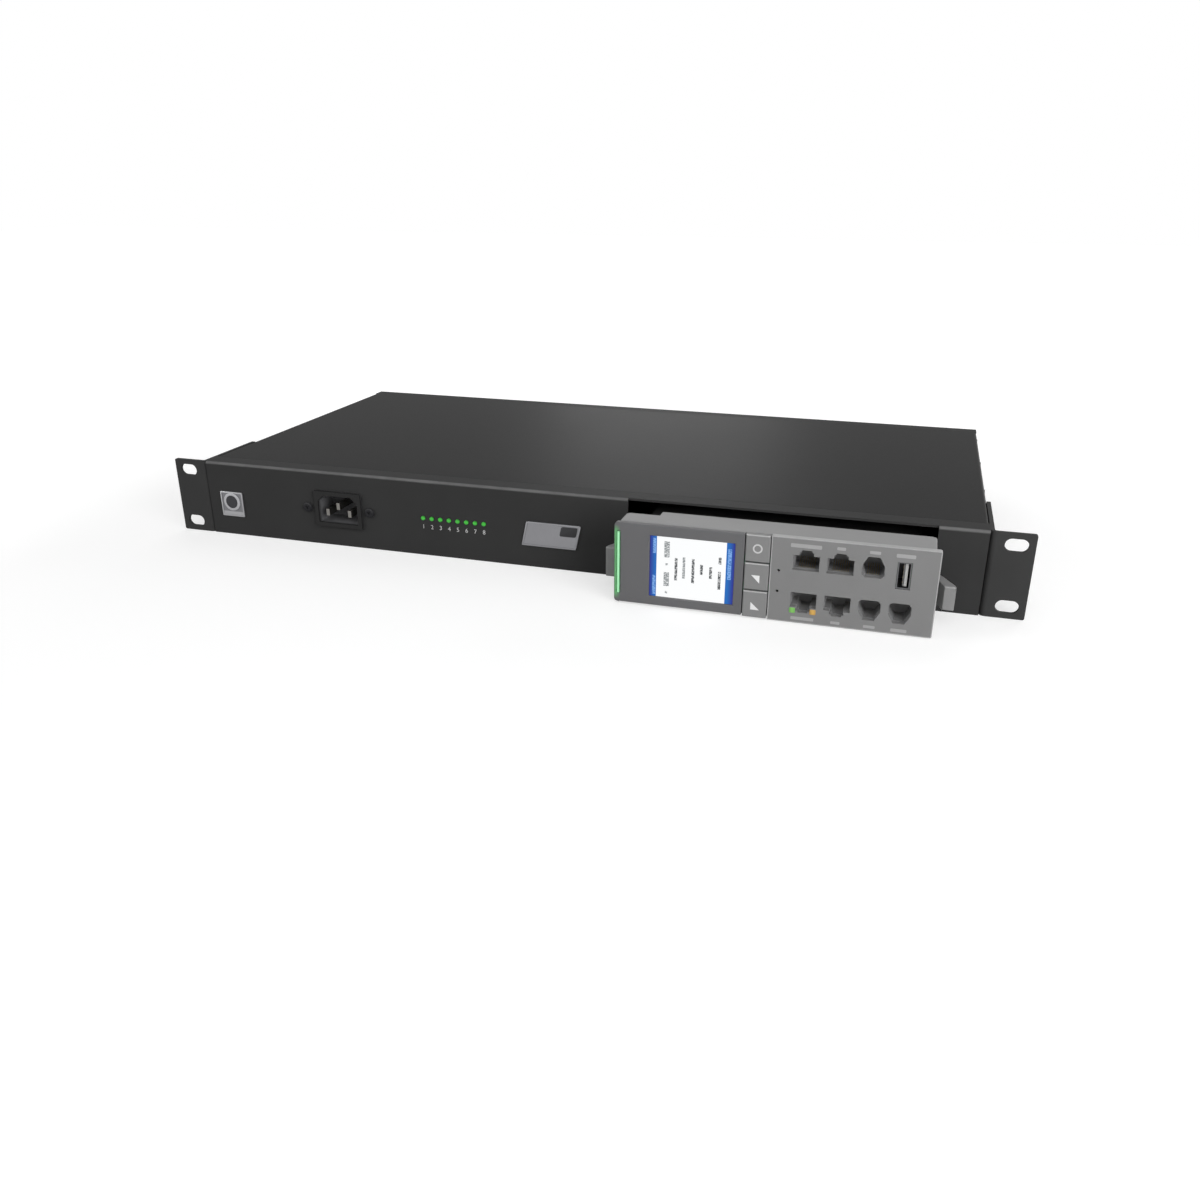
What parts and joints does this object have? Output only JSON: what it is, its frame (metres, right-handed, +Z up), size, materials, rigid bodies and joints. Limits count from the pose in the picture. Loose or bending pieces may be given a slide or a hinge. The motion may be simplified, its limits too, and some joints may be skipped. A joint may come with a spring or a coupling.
{
  "type": "rack power distribution unit",
  "caption": "One-unit rack power distribution unit with a pull-out network controller, appliance inlet, rear outlets and cable gland.",
  "frame": {"origin": "middle of the four rack slots, on the rear faces of the rack ears", "axes": "+X to the right seen from the front, +Y to the rear, +Z up"},
  "size_m": [0.4826, 0.2903, 0.044],
  "materials": {
    "black_paint": "satin powder coat",
    "controller_grey": "fine satin",
    "bezel_grey": "fine satin",
    "key_grey": "fine satin",
    "screen": "clear, lit from behind",
    "green_light": "translucent green",
    "black_plastic": "matt moulded",
    "steel": "zinc-plated",
    "nickel": "nickel-plated",
    "brass": "bright",
    "copper": "bright copper",
    "board_green": "solder resist",
    "rail_plastic": "matt moulded",
    "lens": "clear lens",
    "rubber": "matt"
  },
  "bodies": {
    "chassis": {"chassis_base": "black_paint", "front_panel": "black_paint", "rear_panel": "black_paint", "top_cover": "black_paint", "left_rack_ear": "black_paint", "right_rack_ear": "black_paint", "ear_screws": "steel", "cover_screws": "steel", "inlet_housing": "black_plastic", "inlet_pins": "nickel", "inlet_screws": "steel", "light_pipes": "lens", "light_board": "board_green", "left_guide_rail": "rail_plastic", "right_guide_rail": "rail_plastic", "control_board": "board_green", "dock_socket": "black_plastic", "outlet_relays": "black_plastic", "power_supply": "black_plastic", "live_bus_bar": "copper", "neutral_bus_bar": "copper", "terminal_block": "black_plastic", "outlet_1": "black_plastic", "outlet_2": "black_plastic", "outlet_3": "black_plastic", "outlet_4": "black_plastic", "outlet_5": "black_plastic", "outlet_6": "black_plastic", "outlet_7": "black_plastic", "outlet_8": "black_plastic", "outlet_contacts": "brass", "gland_body": "black_plastic", "gland_nut": "black_plastic", "gland_seal": "rubber", "gland_locknut": "black_plastic"},
    "controller": {"controller_housing": "controller_grey", "port_plate": "controller_grey", "display_bezel": "bezel_grey", "display_screen": "screen", "status_light_bar": "green_light", "usb_port": "steel", "controller_front_board": "board_green", "controller_tray": "steel", "controller_lid": "black_paint", "controller_board": "board_green", "dock_plug": "black_plastic", "upper_jack_1": "black_plastic", "upper_jack_2": "black_plastic", "upper_jack_3": "black_plastic", "lower_jack_1": "black_plastic", "lower_jack_2": "black_plastic", "lower_jack_3": "black_plastic", "lower_jack_4": "black_plastic"},
    "left_latch": {"left_latch": "controller_grey"},
    "right_latch": {"right_latch": "controller_grey"},
    "select_button": {"select_button": "key_grey"},
    "up_button": {"up_button": "key_grey"},
    "down_button": {"down_button": "key_grey"}
  },
  "joints": [
    {"name": "controller_slide", "type": "slide", "parent": "chassis", "child": "controller", "axis": [0, -1, 0], "range_m": [-0.0025, 0.03]},
    {"name": "left_latch_squeeze", "type": "hinge", "parent": "controller", "child": "left_latch", "pos_m": [0.0515, 0.0535, -0.0066], "axis": [0, 0, 1], "range_deg": [0, 2.8], "stiffness_Nm_per_rad": 1},
    {"name": "right_latch_squeeze", "type": "hinge", "parent": "controller", "child": "right_latch", "pos_m": [0.1893, 0.0535, -0.0071], "axis": [0, 0, -1], "range_deg": [0, 2.8], "stiffness_Nm_per_rad": 1},
    {"name": "select_button_press", "type": "slide", "parent": "controller", "child": "select_button", "axis": [0, 1, 0], "range_m": [0, 0.0008], "stiffness_N_per_m": 1000},
    {"name": "up_button_press", "type": "slide", "parent": "controller", "child": "up_button", "axis": [0, 1, 0], "range_m": [0, 0.0008], "stiffness_N_per_m": 1000},
    {"name": "down_button_press", "type": "slide", "parent": "controller", "child": "down_button", "axis": [0, 1, 0], "range_m": [0, 0.0008], "stiffness_N_per_m": 1000}
  ]
}
